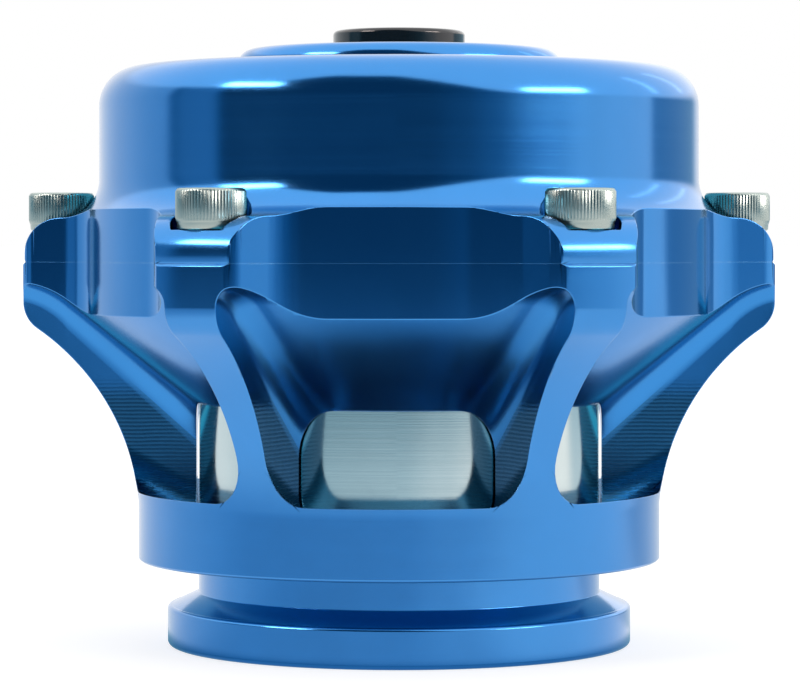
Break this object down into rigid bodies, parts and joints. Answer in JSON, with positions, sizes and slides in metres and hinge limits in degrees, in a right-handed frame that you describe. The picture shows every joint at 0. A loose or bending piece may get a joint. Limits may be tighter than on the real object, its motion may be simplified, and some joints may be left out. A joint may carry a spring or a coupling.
{
  "type": "blow-off valve",
  "caption": "Spring-loaded piston blow-off valve with a V-band inlet flange, open exhaust windows, a diaphragm chamber and a threaded signal port.",
  "frame": {"origin": "centre of the inlet flange's bottom face", "axes": "+Z along the valve axis, from the inlet flange to the signal port; a screw lobe lies on +X and a window faces -Y"},
  "size_m": [0.0976, 0.089, 0.0797],
  "materials": {
    "blue_anodised": "bright dipped, blue anodised",
    "bright_aluminium": "fine turned",
    "stainless": "knurled and plain",
    "black_anodised": "gloss black anodised",
    "zinc_steel": "zinc plated",
    "spring_steel": "oiled spring wire",
    "black_rubber": "moulded",
    "ptfe": "filled PTFE",
    "bronze": "sintered bronze"
  },
  "bodies": {
    "housing": {"valve_body": "blue_anodised", "upper_housing": "blue_anodised", "cap_screws": "stainless", "signal_port_fitting": "black_anodised", "port_o_ring": "black_rubber", "diaphragm": "black_rubber", "valve_spring": "spring_steel", "spring_seat_ring": "zinc_steel", "lower_stem_bushing": "bronze", "upper_stem_bushing": "bronze", "stem_seal": "black_rubber", "bushing_circlip": "spring_steel"},
    "valve": {"valve_piston": "bright_aluminium", "seat_o_ring": "black_rubber", "piston_guide_ring": "ptfe", "valve_screw_washer": "zinc_steel", "valve_screw": "zinc_steel", "valve_stem": "zinc_steel", "lower_diaphragm_plate": "zinc_steel", "upper_diaphragm_plate": "bright_aluminium", "stem_nut_washer": "zinc_steel", "stem_nut": "zinc_steel"}
  },
  "joints": [
    {"name": "valve_lift", "type": "slide", "parent": "housing", "child": "valve", "axis": [0, 0, 1], "range_m": [0, 0.011], "stiffness_N_per_m": 5000, "springref_m": -0.012, "deforming": ["valve_spring", "diaphragm"]}
  ]
}
